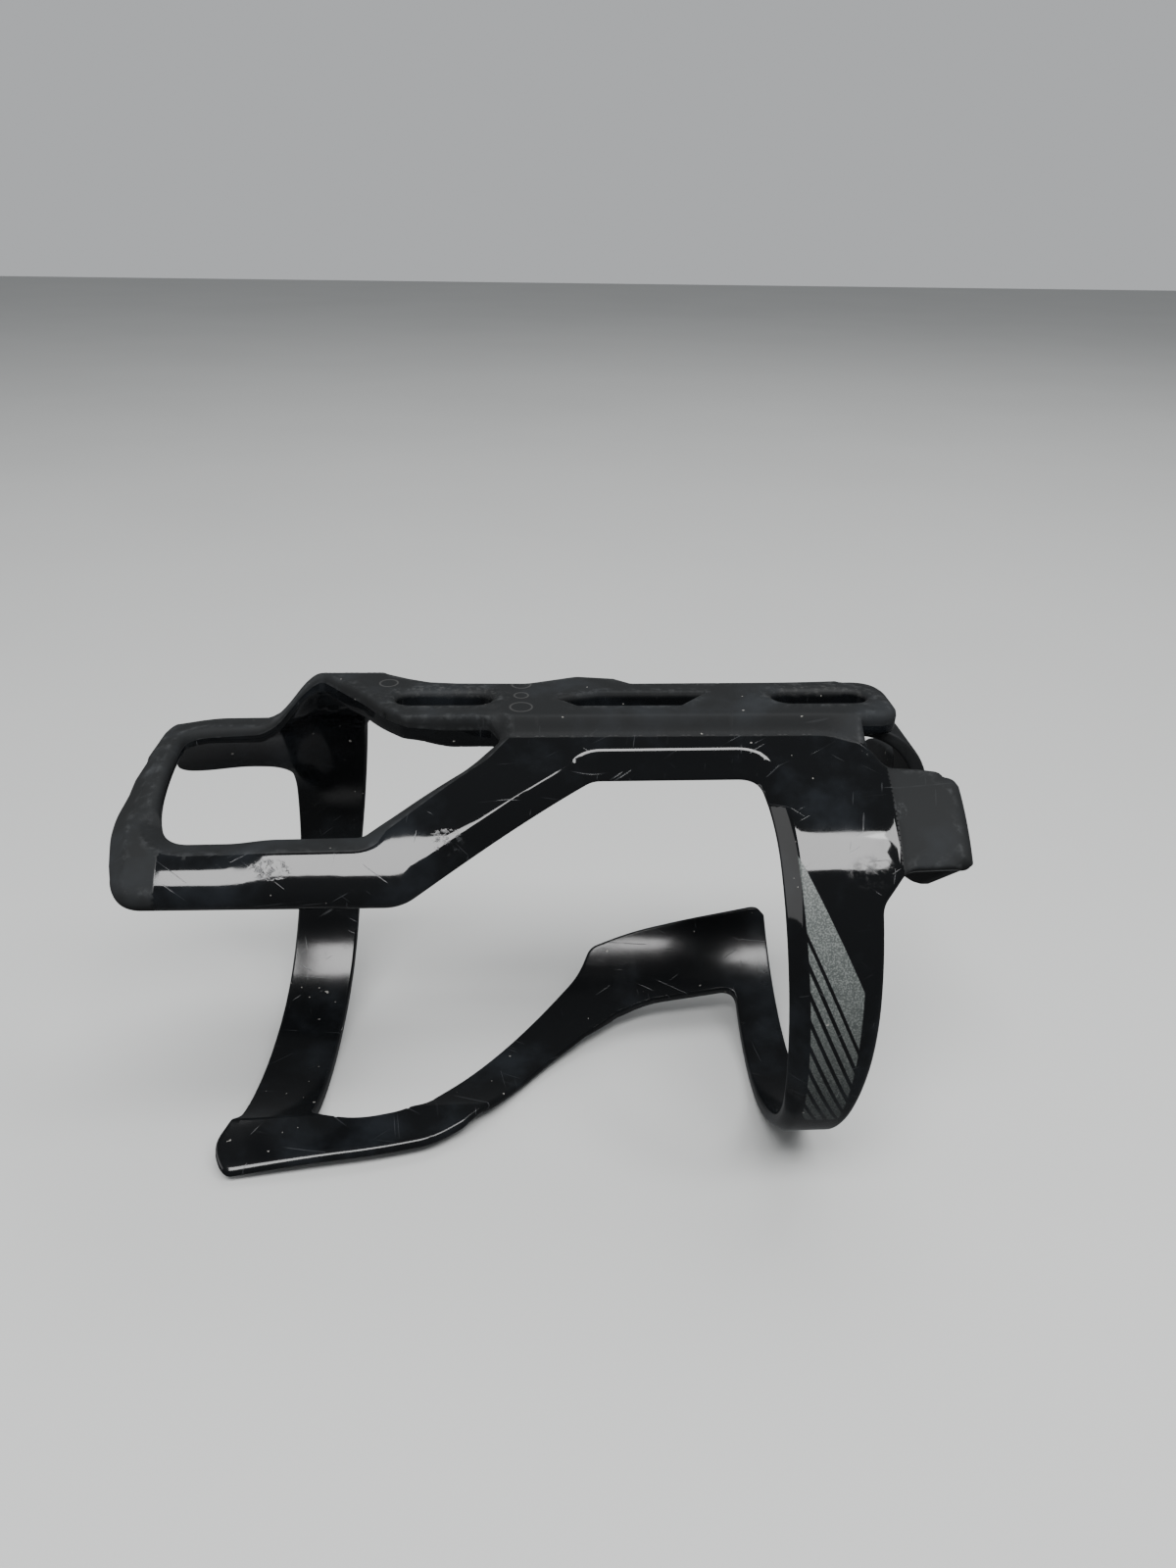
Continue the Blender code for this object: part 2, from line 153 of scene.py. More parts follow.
BASE_EDGE = [
    (-54, 260, 0, SMALL), (-55.3, 224, 0, SMALL), (-57.4, 190, 0, SMALL), (-58.6, 156.5, 2, SMALL),
    (-50, 156.8, 0, SMALL), (-42, 160, 0, SMALL), (-37.8, 163.2, 5, SMALL), (-34.9, 169.2, 0, SMALL),
    (-25, 186.8, 0, SMALL), (-14.1, 205.5, 0, SMALL), (-7.7, 216.5, 0, SMALL), (-5, 226, 4, SMALL),
    (4, 231, 0, SMALL), (16, 235, 0, SMALL), (31.5, 239, 2, SMALL), (33.2, 236, 1, SMALL),
    (34, 211, 0, SMALL), (34.6, 180, 0, SMALL), (36, 114, 0, FLANK), (36.9, 90, 0, FLANK),
    (37, 58, 4, FLANK), (41, 49.6, 4, SMALL), (48, 49.3, 0, SMALL), (ARM_END, 49.3, 2, ARM_CORNER),
    (ARM_END, 25.0, 4.5, ARM_CORNER), (47.5, 23.6, 0, SMALL), (40.5, 22, 3, NOTCH),
    (37.9, 17.5, 1.5, NOTCH), (37.2, 11.9, 0.5, SMALL), (44.2, 10.6, 6.5, TONGUE),
    (44.2, -10.2, 6.5, TONGUE), (30, -8.6, 0, SMALL), (0, -8.3, 1, SMALL), (-2.5, -12.4, 1, NOTCH),
    (-9.5, -12.8, 3, SMALL), (-18, -8.6, 6, SMALL), (-30, -8.9, 6, SMALL), (-34.8, -9.7, 3, SMALL),
    (-38.4, -11.8, 2, SMALL), (-43.3, -15.6, 4, SMALL), (-48.8, -42, 8, SMALL),
    (-51.7, -75, 0, SMALL), (-54, -100, 0, SMALL)]
MOUTH_WINDOW = [
    (-76.4, -5, 4, HOOP_RIM), (-76.6, 28, 0, HOOP_RIM), (-74.6, 39.8, 5, RAIL_TOP),
    (-43.8, 39.3, 3, RAIL_TOP), (-39, 33.8, 0, STRUT), (-26, 17.2, 0, STRUT), (-22.2, 12.3, 1.5, APEX),
    (-24, 11.3, 0.5, FINE), (-38.2, 11.4, 3, FINE), (-42.4, 5, 0, SMALL), (-46, -3, 0, SMALL),
    (-49.3, -8.6, 0, SMALL), (-54.2, -15.2, 1.2, SMALL), (-61.5, -6, 4, SMALL)]
SPINE_WINDOW = [(-13, 1, 0.5, FINE), (-9.5, 5.6, 0.5, FINE), (7.7, 5.6, 0.5, FINE),
                (12.9, -2.6, 0.5, FINE), (-5.9, -2.6, 0.5, FINE)]

# the base stop's rounded outline beyond the side arm, as (y, z)
STOP_OUTLINE = [(-12.5, -30.5), (-8, -32.5), (-3, -33.8), (6, -34.6), (16, -34.4), (25, -32.5),
                (29.7, -28), (30, -24.5), (28, -21), (23, -18.4), (16, -16.6)]

# lines that part the members, and a place on each member, as (x, angle)
CUTS = [
    [(-53.35, 13), (-53.35, -30)], [(-53.35, -15.1), (-40, -15.1)], [(-26, 13.55), (ARM_START, 13.55)],
    [(-16.3, -16), (-16.3, 13.55)], [(15.7, -16), (15.7, 13.55)],
    [(-10.7, 13.55), (-10.7, 32)], [(20.0, 13.55), (20.0, 36)], [(ARM_START, 13.55), (ARM_START, 60)],
    [(18, 65.05), (42, 65.05)], [(20, 120), (40, 120)], [(22, 180), (40, 180)],
    [(20.8, 200), (20.8, 245)], [(-6.4, 185), (-6.4, 235)], [(-36.4, 145), (-36.4, 170)],
    [(-80, 164), (-50, 164)], [(-75, 212), (-50, 212)], [(-75, -62.2), (-64.6, -62.2)],
    [(-64.6, -62.2), (-64.6, 2)], [(-64.6, -30), (-53.35, -30)], [(-90, -4.95), (-70, -4.95)],
    [(-90, 44.25), (-69.8, 44.25)], [(-69.8, 44.25), (-69.8, 34)], [(-41, 34), (-41, 62)]]
SEEDS = {
    "mouth_boss": (-20, 5), "mounting_spine": (-14, 8), "base_boss": (18, 0),
    "spine_neck": (-58, -20), "mouth_hook": (-70, -30), "mouth_hoop": (-79, 20),
    "near_rail": (-60, 50), "near_strut": (-30, 35), "side_rail": (5, 16),
    "near_flank": (30, 35), "foot_arm": (45, 35), "ring_near": (30, 90), "ring_bottom": (30, 150),
    "ring_far": (30, 210), "far_shoulder": (8, 220), "front_strut": (-22, 176),
    "front_lip": (-60, 154), "front_strap": (-64, 190), "far_strap": (-62, 240),
    "upper_strap": (-58, -50)}

# mesh density
OUTLINE_STEP = 0.8
ARC_STEP = 0.35
GRID_STEP = 1.5
LOOPS = (0.1, 0.3, 0.55, 0.78, 0.92, 1.0, 1.1, 1.35)
INNER_EDGE = 0.4               # round on the wall's inner edges
DEPTHS = (0.0, 0.2, 0.38, 0.43, 0.7, 1.0)      # rows of points down the wall's edges
MATT_DEPTH = 0.4               # a matt edge is polished below this
HIGHLIGHT_LINE_DEPTH = 0.3               # and the paler line painted on it starts here, partly edge wear and partly a painted highlight
HIGHLIGHT_LINE_WIDTH = 1.6               # only edges with a narrower bevel have that line
INNER_SATIN = 0.12             # the inside is a little duller than polished
THINNEST = 0.15                # of the wall, at the bottom of a deep bevel


def ramp(value, start, end):
    """0 at start, 1 at end, smooth between; start may be the larger."""
    t = np.clip((value - start) / (end - start), 0.0, 1.0)
    return t * t * (3.0 - 2.0 * t)


def mix(a, b, t):
    return a + (b - a) * t


def bump(value, centre, width):
    return np.exp(-((value - centre) / width) ** 2)


# ---- the wall's shape ------------------------------------------------------------------------

def near_side_angle(x):
    return NEAR_SIDE_ANGLE + NEAR_SIDE_FLARE * ramp(x, 30, 37.5)


def spine_section(x, angle):
    """Distance from the bottle's axis to the spine's outside, with sharp creases."""
    size = np.abs(angle)
    face = np.where(angle > 0, NEAR_FACE_ANGLE, FAR_FACE_ANGLE)
    side = np.where(angle > 0, near_side_angle(x), FAR_SIDE_ANGLE)
    top = FACE_HEIGHT / np.cos(np.radians(np.minimum(size, face)))
    along = np.clip((size - face) / (side - face), 0.0, 1.0)
    wall = mix(top, NEAR_SIDE_RADIUS, along)
    foot = mix(NEAR_SIDE_RADIUS, OUTSIDE, ramp(size, side, np.maximum(SPINE_BLEND, side + 6)))
    return np.where(size <= face, top, np.where(size <= side, wall, foot))


def spine_radius(x, angle):
    """The spine's section with its creases rounded, as a weighted mean over a small angle."""
    shifts = np.linspace(-1.0, 1.0, 9)
    weights = 1.05 - shifts ** 2
    total = sum(w * spine_section(x, angle + CREASE_ROUND * s) for s, w in zip(shifts, weights))
    return total / weights.sum()


def spine_hollow(x, angle):
    """How far the spine's flat underside lies outside the bottle."""
    thickness = SPINE_THICKNESS - 1.6 * ramp(x, -30, -38) - 1.3 * ramp(x, -48, -54)
    underside = (FACE_HEIGHT - thickness) / np.cos(np.radians(np.clip(angle, -18, 18)))
    weight = ramp(x, -62, -55) * ramp(angle, 19, 12.5) * ramp(angle, -24, -15)
    return (underside - BOTTLE_RADIUS) * weight


def hook_drop(x, angle):
    """How far the mouth end is drawn in to the bottle's groove."""
    round_it = ramp(angle, 52, 24) * ramp(angle, -78, -58) * (angle < 100)
    curl = HOOK_CURL * ramp(x, -66, -86) * ramp(angle, -15, -45)
    return (HOOK_DEPTH * ramp(x, -57, -65) + HOOK_TAPER * ramp(x, -72, -84) + curl) * round_it


def lip_crease(x):
    return mix(LIP_CREASES[0], LIP_CREASES[1], ramp(x, -72, -38))


def lip_rise(x, angle):
    """How far the front lip flares out of the wall."""
    crease = lip_crease(x)
    slope = np.clip((crease - angle) / (crease - LIP_EDGE), 0.0, None)
    return LIP_FLARE * slope * ramp(x, -20, -32) * (angle > 140)


def arm_step(x, angle):
    """The foot arm lies a little below the flank that it leaves."""
    return 0.35 * ramp(x, 39.6, 41.2) * ramp(angle, 12, 16) * (angle < 70)


def outer_radius(x, angle):
    wall = np.full_like(x, OUTSIDE)
    spine = mix(wall, spine_radius(x, angle), ramp(x, -61.5, -54))
    radius = np.where(np.abs(angle) < 90, spine, wall)
    return radius - hook_drop(x, angle) + lip_rise(x, angle) - arm_step(x, angle)


def inner_radius(x, angle):
    wall = BOTTLE_RADIUS + spine_hollow(x, angle) - hook_drop(x, angle) + lip_rise(x, angle)
    tongue = TONGUE_UNDERSIDE / np.cos(np.radians(np.clip(angle, -20, 20)))
    free = ramp(x, TONGUE_START - 0.6, TONGUE_START + 0.6) * (np.abs(angle) < 12.6)
    return mix(wall, tongue, free)


def to_space(x, angle, radius):
    """Rows of positions in metres."""
    turn = np.radians(angle)
    return np.stack((x, -radius * np.sin(turn), radius * np.cos(turn) + FACE_TOP - FACE_HEIGHT), 1) * MM


# ---- the flat blank --------------------------------------------------------------------------

def flat(x, angle):
    return np.array((x, math.radians(angle) * FLAT_RADIUS))


def stretch(start, end, step):
    """Points from start up to, and without, end."""
    count = max(1, math.ceil(np.linalg.norm(end[:2] - start[:2]) / step))
    return [mix(start, end, index / count) for index in range(count)]


def trace(corners):
    """A closed outline as rows of x, arc length and edge style, with its corners rounded."""
    points = [np.array((*flat(x, angle), *style)) for x, angle, _, style in corners]
    bends = []
    for index, (point, corner) in enumerate(zip(points, corners)):
        before = points[index - 1] - point
        after = points[(index + 1) % len(points)] - point
        lengths = np.linalg.norm(before[:2]), np.linalg.norm(after[:2])
        cosine = np.dot(before[:2], after[:2]) / (lengths[0] * lengths[1])
        opening = math.acos(max(-1.0, min(1.0, cosine)))
        on_seam = corner[1] in (SEAM, SEAM + 360.0)
        if on_seam or opening > math.radians(179.7):
            bends.append((point, point, point))
            continue
        reach = 0.45 * min(lengths)
        if corner[2] > 0:
            reach = min(corner[2] / math.tan(opening / 2), 0.48 * lengths[0], 0.48 * lengths[1])
        start, end = (point + leg * (reach / length) for leg, length in zip((before, after), lengths))
        for limb in (start, end):
            limb[2:] = point[2:]
        bends.append((start, point, end))
    outline = []
    for index, (start, point, end) in enumerate(bends):
        if start is not end:
            span = np.linalg.norm(start[:2] - point[:2]) + np.linalg.norm(end[:2] - point[:2])
            sharp = np.linalg.norm(start[:2] - end[:2]) < 0.97 * span
            count = max(3, math.ceil(span / (ARC_STEP if sharp else OUTLINE_STEP)))
            for step in range(count):
                t = step / count
                outline.append(start * (1 - t) ** 2 + point * 2 * t * (1 - t) + end * t ** 2)
        outline += stretch(end, bends[(index + 1) % len(bends)][0], OUTLINE_STEP)
    return np.array(outline)


def slot_outline(centre):
    """A bolt slot with round ends, drawn on the spine."""
    half = (SLOT_LENGTH - SLOT_WIDTH) / 2
    rows = []
    for side in (1, -1):
        for step in range(15):
            turn = math.pi * (step / 14 - 0.5)
            x = centre + side * (half + SLOT_WIDTH / 2 * math.cos(turn))
            y = side * SLOT_WIDTH / 2 * math.sin(turn)
            rows.append(np.array((x, math.atan2(y, FACE_HEIGHT) * FLAT_RADIUS, *SLOT)))
    outline = []
    for index, row in enumerate(rows):
        outline += stretch(row, rows[(index + 1) % len(rows)], OUTLINE_STEP)
    return np.array(outline)


class Blank:
    """The outlines' edges, and what lies at a point of the blank."""

    def __init__(self, outlines):
        self.outlines = outlines
        starts = np.concatenate(outlines)
        ends = np.concatenate([np.roll(outline, -1, axis=0) for outline in outlines])
        self.starts, self.ends = starts, ends
        seam = (np.isin(np.round(starts[:, 1], 4), SEAM_ARCS)
                & np.isin(np.round(ends[:, 1], 4), SEAM_ARCS))
        self.real = (starts[~seam], ends[~seam])

    def inside(self, points):
        """True where a point lies on the material."""
        x, y = points[:, 0, None], points[:, 1, None]
        hits = np.zeros(len(points), int)
        for part in np.array_split(np.arange(len(self.starts)), 8):
            a, b = self.starts[part], self.ends[part]
            crosses = (a[:, 1] > y) != (b[:, 1] > y)
            rise = np.where(b[:, 1] == a[:, 1], 1.0, b[:, 1] - a[:, 1])
            hits += (crosses & (x < (b[:, 0] - a[:, 0]) * (y - a[:, 1]) / rise + a[:, 0])).sum(1)
        return hits % 2 == 1

    def measure(self, points):
        """Distance to the nearest edge, the bevel's drop, and the bevel's width there."""
        a, b = self.real
        run = b - a
        length = (run[:, :2] ** 2).sum(1)
        rows = []
        for part in np.array_split(points, max(1, len(points) // 1500)):
            off = part[:, None, :2] - a[None, :, :2]
            t = np.clip((off * run[:, :2]).sum(2) / length, 0.0, 1.0)
            away = np.sqrt(((off - run[:, :2] * t[..., None]) ** 2).sum(2))
            width = a[:, 2] + run[:, 2] * t
            depth = a[:, 3] + run[:, 3] * t
            crisp = a[:, 4] + run[:, 4] * t
            near = np.clip(1.0 - away / width, 0.0, 1.0)
            arc = 1.0 - np.sqrt(np.clip(1.0 - near ** 2, 0.0, 1.0))
            lift = 1.0 - away / width
            soft = CHAMFER_ROUND / width
            plane = np.clip(0.5 * (lift + np.sqrt(lift ** 2 + soft ** 2)) - 0.02 * soft, 0.0, 1.0)
            plane = np.where(lift > -6 * soft, plane, 0.0)
            drop = depth * mix(arc, plane, crisp)
            nearest = away.argmin(1)
            pick = np.arange(len(part)), nearest
            rows.append(np.stack((away[pick], drop.max(1), width[pick]), 1))
        return np.concatenate(rows).T


def offset_points(blank):
    """Rows of points along every outline, at steps across its bevel."""
    rows = []
    for number, outline in enumerate(blank.outlines):
        ahead, behind = np.roll(outline, -1, axis=0), np.roll(outline, 1, axis=0)
        run = ahead[:, :2] - behind[:, :2]
        run /= np.linalg.norm(run, axis=1)[:, None]
        area = (outline[:, 0] * ahead[:, 1] - ahead[:, 0] * outline[:, 1]).sum()
        turn = np.sign(area) * (1 if number == 0 else -1)
        normal = np.stack((-run[:, 1], run[:, 0]), 1) * turn
        seam = np.isin(np.round(outline[:, 1], 4), SEAM_ARCS)
        for loop in LOOPS:
            reach = outline[:, 2:3] * loop
            points = np.concatenate((outline[:, :2] + normal * reach, reach), 1)
            rows.append(points[~seam])
    points = np.concatenate(rows)
    points = points[blank.inside(points)]
    distance = blank.measure(points)[0]
    return points[distance > 0.95 * points[:, 2]][:, :2]


def feature_rows():
    """Rows of points beside the spine's creases, the lip's crease and the arm's step."""
    rows = []
    steps = np.array((-0.9, -0.5, -0.22, 0.0, 0.22, 0.5, 0.9))
    for angle in (NEAR_FACE_ANGLE, NEAR_SIDE_ANGLE, -FAR_FACE_ANGLE, -FAR_SIDE_ANGLE):
        for x in np.arange(-62, 45.5, 1.0):
            flare = near_side_angle(x) - NEAR_SIDE_ANGLE if angle == NEAR_SIDE_ANGLE else 0.0
            rows += [flat(x, angle + flare) + (0, step) for step in steps]
    for x in np.arange(-77, -24, 1.0):
        rows += [flat(x, float(lip_crease(x))) + (0, step) for step in steps]
    for angle in np.arange(14, 62, 1.2):
        rows += [flat(ARM_START, angle) + (step, 0) for step in steps]
    for angle in np.arange(-4, 60, 1.2):
        rows += [flat(HOOP_END, angle) + (step, 0) for step in steps]
    return np.array(rows)


def grid_points():
    rows = []
    for row, y in enumerate(np.arange(SEAM_ARCS[0] + 0.7, SEAM_ARCS[1] - 0.6, GRID_STEP * 0.87)):
        shift = GRID_STEP / 2 * (row % 2)
        rows += [(x, y) for x in np.arange(-84 + shift, 53, GRID_STEP)]
    return np.array(rows)


def thinned(groups):
    """Points of all groups in turn, without any that lies too close to an earlier one."""
    kept, cells = [], {}
    cell = 0.6
    for points, space in groups:
        for x, y in points:
            key = (math.floor(x / cell), math.floor(y / cell))
            around = [cells.get((key[0] + i, key[1] + j), ()) for i in (-1, 0, 1) for j in (-1, 0, 1)]
            if any((x - p) ** 2 + (y - q) ** 2 < space ** 2 for near in around for p, q in near):
                continue
            cells.setdefault(key, []).append((x, y))
            kept.append((x, y))
    return np.array(kept)


def cut_lines(blank):
    """The cuts as chains of points, closer together near the outlines."""
    chains = []
    for line in CUTS:
        start, end = flat(*line[0]), flat(*line[1])
        points = np.array(stretch(start, end, 0.2) + [end])
        inside = blank.inside(points)
        distance = blank.measure(points)[0]
        ends = (0, len(points) - 1)
        keep = [i for i in range(len(points)) if i in ends or distance[i] < 1.4 or i % 4 == 0]
        chain = []
        for i in keep:
            near_in = inside[max(0, i - 4):i + 5].any()
            if near_in and (not inside[i] or distance[i] > 0.09):
                chain.append(points[i])
            elif not near_in and len(chain) > 1:
                chains.append(np.array(chain))
                chain = []
        if len(chain) > 1:
            chains.append(np.array(chain))
    return chains


def seam_edge_points():
    """Inner points of the blank's two short edges, at the same x on both."""
    left, right = MOUTH_EDGE[0][0], BASE_EDGE[-1][0]
    width = MOUTH_EDGE[0][3][0]
    places = [left + width * loop for loop in LOOPS]
    places += list(np.arange(left + 2 * width, right - 2 * width, GRID_STEP))
    return places + [right - width * loop for loop in reversed(LOOPS)]


def outer_outline():
    """The blank's outside edge, with matching points on the two sides of the seam."""
    outline = trace(MOUTH_EDGE + BASE_EDGE)
    inner = np.isin(np.round(outline[:, 1], 4), SEAM_ARCS)
    ends = (MOUTH_EDGE[0][0], BASE_EDGE[-1][0])
    corner = np.isin(np.round(outline[:, 0], 4), ends)
    rows = []
    for row, on_seam, at_corner in zip(outline, inner, corner):
        if on_seam and not at_corner:
            continue
        rows.append(row)
        if on_seam and round(row[1], 4) == SEAM_ARCS[1] and round(row[0], 4) == ends[0]:
            rows += [np.array((x, row[1], *SMALL)) for x in seam_edge_points()]
        if on_seam and round(row[1], 4) == SEAM_ARCS[0] and round(row[0], 4) == ends[1]:
            rows += [np.array((x, row[1], *SMALL)) for x in reversed(seam_edge_points())]
    return np.array(rows)


def triangulated(blank):
    """The blank's points, its triangles, and which of its edges are cuts."""
    chains = cut_lines(blank)
    edges_of_outline = []
    start = 0
    for outline in blank.outlines:
        count = len(outline)
        edges_of_outline += [(start + i, start + (i + 1) % count) for i in range(count)]
        start += count
    fixed = np.concatenate([outline[:, :2] for outline in blank.outlines])
    cut_points = np.concatenate(chains)
    loops = offset_points(blank)
    features, grid = feature_rows(), grid_points()
    features = features[blank.inside(features)]
    grid = grid[blank.inside(grid)]
    features = features[blank.measure(features)[0] > 0.3]
    grid = grid[blank.measure(grid)[0] > 0.6]
    spaced = thinned([(fixed, 0.0), (cut_points, 0.0), (loops, 0.1), (features, 0.18), (grid, 0.7)])
    free = spaced[len(fixed) + len(cut_points):]
    seam_near = np.minimum(np.abs(free[:, 1] - SEAM_ARCS[0]), np.abs(free[:, 1] - SEAM_ARCS[1]))
    free = free[seam_near > 0.35]
    cut_edges = []
    for chain in chains:
        cut_edges += [(start + i, start + i + 1) for i in range(len(chain) - 1)]
        start += len(chain)
    everything = [Vector(p) for p in np.concatenate((fixed, cut_points, free))]
    points, edges, faces, _, sources, _ = delaunay_2d_cdt(
        everything, edges_of_outline + cut_edges, [], 0, 1e-5, True)
    points = np.array([tuple(p) for p in points])
    triangles = np.array([tuple(face) for face in faces])
    triangles = triangles[blank.inside(points[triangles].mean(1))]
    first = len(edges_of_outline)
    cuts = {tuple(sorted(edge)) for edge, source in zip(edges, sources)
            if any(s >= first for s in source)}
    return points, triangles, cuts


def edge_owners(triangles):
    """Each edge's triangles, with the edge's direction in the first of them."""
    owners = {}
    for index, (a, b, c) in enumerate(triangles.tolist()):
        for edge in ((a, b), (b, c), (c, a)):
            owners.setdefault(tuple(sorted(edge)), []).append((index, edge))
    return owners


def member_of_triangles(points, triangles, owners, cuts):
    """The member that each triangle belongs to: all that can be reached without crossing a cut."""
    neighbours = [[] for _ in triangles]
    for edge, sides in owners.items():
        if len(sides) == 2 and edge not in cuts:
            (one, _), (two, _) = sides
            neighbours[one].append(two)
            neighbours[two].append(one)
    centres = points[triangles].mean(1)
    member = [None] * len(triangles)
    for name, place in SEEDS.items():
        first = int(((centres - flat(*place)) ** 2).sum(1).argmin())
        if member[first] is not None:
            raise RuntimeError(f"{name} and {member[first]} aren't parted")
        member[first] = name
        front = [first]
        while front:
            for other in neighbours[front.pop()]:
                if member[other] is None:
                    member[other] = name
                    front.append(other)
    stray = [index for index, name in enumerate(member) if name is None]
    for index in stray:
        near = min(SEEDS, key=lambda name: ((centres[index] - flat(*SEEDS[name])) ** 2).sum())
        member[index] = near
    if stray:
        print("triangles on no member:", len(stray))
    return member


# ---- finish zones ----------------------------------------------------------------------------

def satin_outside(x, angle, distance, width):
    """1 where the outside is matt, 0 where it is polished."""
    spine = (angle > -24) * (angle < near_side_angle(x) + 0.8) * (x > -63)
    hook = (angle > -66) * (angle < 60) * (x < HOOP_END)
    visor = (angle > -66) * (angle < 12) * (x < -53)
    arm = (x > ARM_START) * (angle > 12) * (angle < 64)
    bevel = (distance < 1.05 * width) * (width > 0.75)
    window_bevel = bevel * (x > -80) * (x < -20) * (angle > 11) * (angle < 47)
    above_strut = angle - 12.3 < (-22.2 - x) * 1.25 + 6.0
    return np.clip(spine * 1.0 + hook + visor + arm + window_bevel * above_strut, 0.0, 1.0)


# ---- pieces ----------------------------------------------------------------------------------

def corner_normals(positions, triangles):
    """Each vertex's normal, weighted by the corners' angles."""
    total = np.zeros_like(positions)
    a, b, c = (positions[triangles[:, i]] for i in range(3))
    facing = np.cross(b - a, c - a)
    facing /= np.maximum(np.linalg.norm(facing, axis=1), 1e-16)[:, None]
    for index, (p, q, r) in enumerate(((a, b, c), (b, c, a), (c, a, b))):
        u, v = q - p, r - p
        size = np.maximum(np.linalg.norm(u, axis=1) * np.linalg.norm(v, axis=1), 1e-16)
        angle = np.arccos(np.clip((u * v).sum(1) / size, -1.0, 1.0))
        np.add.at(total, triangles[:, index], facing * angle[:, None])
    return total


def unit(vectors):
    return vectors / np.maximum(np.linalg.norm(vectors, axis=1), 1e-16)[:, None]


def wall_members(materials):
    """Every member of the wrapped wall as its own closed piece."""
    outlines = [outer_outline(), trace(MOUTH_WINDOW), trace(SPINE_WINDOW)]
    outlines += [slot_outline(side * SLOT_SPACING / 2) for side in (-1, 1)]
    blank = Blank(outlines)
    points, triangles, cuts = triangulated(blank)
    owners = edge_owners(triangles)
    member = member_of_triangles(points, triangles, owners, cuts)

    x, angle = points[:, 0], np.degrees(points[:, 1] / FLAT_RADIUS)
    distance, drop, width = blank.measure(points)
    nearness = np.clip(1.0 - distance / INNER_EDGE, 0, 1)
    inner_round = INNER_EDGE * (1.0 - np.sqrt(np.clip(1.0 - nearness ** 2, 0, 1)))
    top = outer_radius(x, angle) - drop
    inside = inner_radius(x, angle)
    top = np.maximum(top, inside + THINNEST)
    low = inside + np.minimum(inner_round, top - inside - THINNEST)
    count = len(points)
    rows = len(DEPTHS) - 1
    positions = np.concatenate([to_space(x, angle, mix(top, low, depth)) for depth in DEPTHS])
    positions = np.clip(positions, cad_low, cad_high)
    last = rows * count
    matt = satin_outside(x, angle, distance, width)
    slot_wall = (np.abs(angle) < 7) * (np.abs(x) < 42)
    matt_wall = matt * (1 - slot_wall)
    walls_below = [matt_wall * (depth < MATT_DEPTH) for depth in DEPTHS[1:-1]]
    satin = np.concatenate([matt, *walls_below, np.full(count, INNER_SATIN)])
    # a paler line painted along narrow matt edges: a painted highlight where the wall turns from matt
    # to polished, and edge wear mixed with a painted highlight along the bevel's top edge
    worn = matt * (width < HIGHLIGHT_LINE_WIDTH)
    highlight_rows = [worn * (HIGHLIGHT_LINE_DEPTH < depth < MATT_DEPTH) for depth in DEPTHS[1:]]
    wear_and_highlight_line = np.concatenate([bump(distance, width, 0.5), *highlight_rows])

    on_seam = {}
    for index in np.nonzero(np.isin(np.round(points[:, 1], 4), SEAM_ARCS))[0]:
        on_seam.setdefault(round(float(x[index]), 3), []).append(int(index))
    seam_points = {i for pair in on_seam.values() for i in pair}
    edge_points, walls, open_edges = set(), [], []
    for edge, sides in owners.items():
        if len(sides) == 1:
            index, (a, b) = sides[0]
            if a in seam_points and b in seam_points:
                open_edges.append((member[index], a, b))
                continue
            edge_points.update((a, b))
            walls.append((member[index], a, b))
        elif member[sides[0][0]] != member[sides[1][0]]:
            open_edges += [(member[index], a, b) for index, (a, b) in sides]

    # the map to space mirrors, so the outside keeps the triangles' turn reversed
    surface = {name: [] for name in SEEDS}
    for (a, b, c), name in zip(triangles.tolist(), member):
        surface[name] += [(a, c, b), (a + last, b + last, c + last)]
    for name, a, b in walls:
        for row in range(rows):
            here, below = row * count, (row + 1) * count
            surface[name].append((a + here, b + here, b + below, a + below))
    caps = {name: [] for name in SEEDS}
    for name, a, b in open_edges:
        down = [b + row * count for row in range(1, rows)] if b in edge_points else []
        up = [a + row * count for row in range(rows - 1, 0, -1)] if a in edge_points else []
        caps[name].append((a, b, *down, b + last, a + last, *up))

    shown = [face for faces in surface.values() for face in faces]
    split = [(f[0], f[i], f[i + 1]) for f in shown for i in range(1, len(f) - 1)]
    normals = corner_normals(positions, np.array(split))
    for pair in on_seam.values():
        if len(pair) == 2:
            for row in range(rows + 1):
                one, two = (i + row * count for i in pair)
                normals[one] = normals[two] = normals[one] + normals[two]
    normals = unit(normals)
    for name in SEEDS:
        make_member(name, positions, surface[name], caps[name], normals, satin, wear_and_highlight_line, materials)


def make_member(name, positions, surface, caps, normals, satin, wear_and_highlight_line, materials):
    used = np.unique(np.concatenate([np.array(face) for face in surface + caps]))
    place = {int(old): new for new, old in enumerate(used)}
    faces = [tuple(place[i] for i in face) for face in surface + caps]
    mesh = bpy.data.meshes.new(name + "_moulding")
    mesh.from_pydata(positions[used].tolist(), [], faces)
    mesh.shade_smooth()
    for label, values in (("satin", satin), ("wear_and_highlight_line", wear_and_highlight_line)):
        layer = mesh.attributes.new(label, "FLOAT", "POINT")
        layer.data.foreach_set("value", values[used].astype(np.float32))
    corners = [normals[i] for face in surface for i in face]
    for face in caps:
        a, b, c = positions[face[0]], positions[face[1]], positions[face[-1]]
        facing = np.cross(b - a, c - a)
        facing = facing / max(np.linalg.norm(facing), 1e-16)
        corners += [facing] * len(face)
    mesh.normals_split_custom_set([tuple(n) for n in corners])
    finish_piece(name, mesh, materials)


def finish_piece(name, mesh, materials):
    piece = bpy.data.objects.new(name + "_moulding", mesh)
    bpy.context.scene.collection.objects.link(piece)
    slot = next(row["material_slot"] for row in frame["record"]["subparts"] if row["node"] == name)
    mesh.materials.append(materials[slot])
    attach(piece, BODY)
    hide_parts(name)


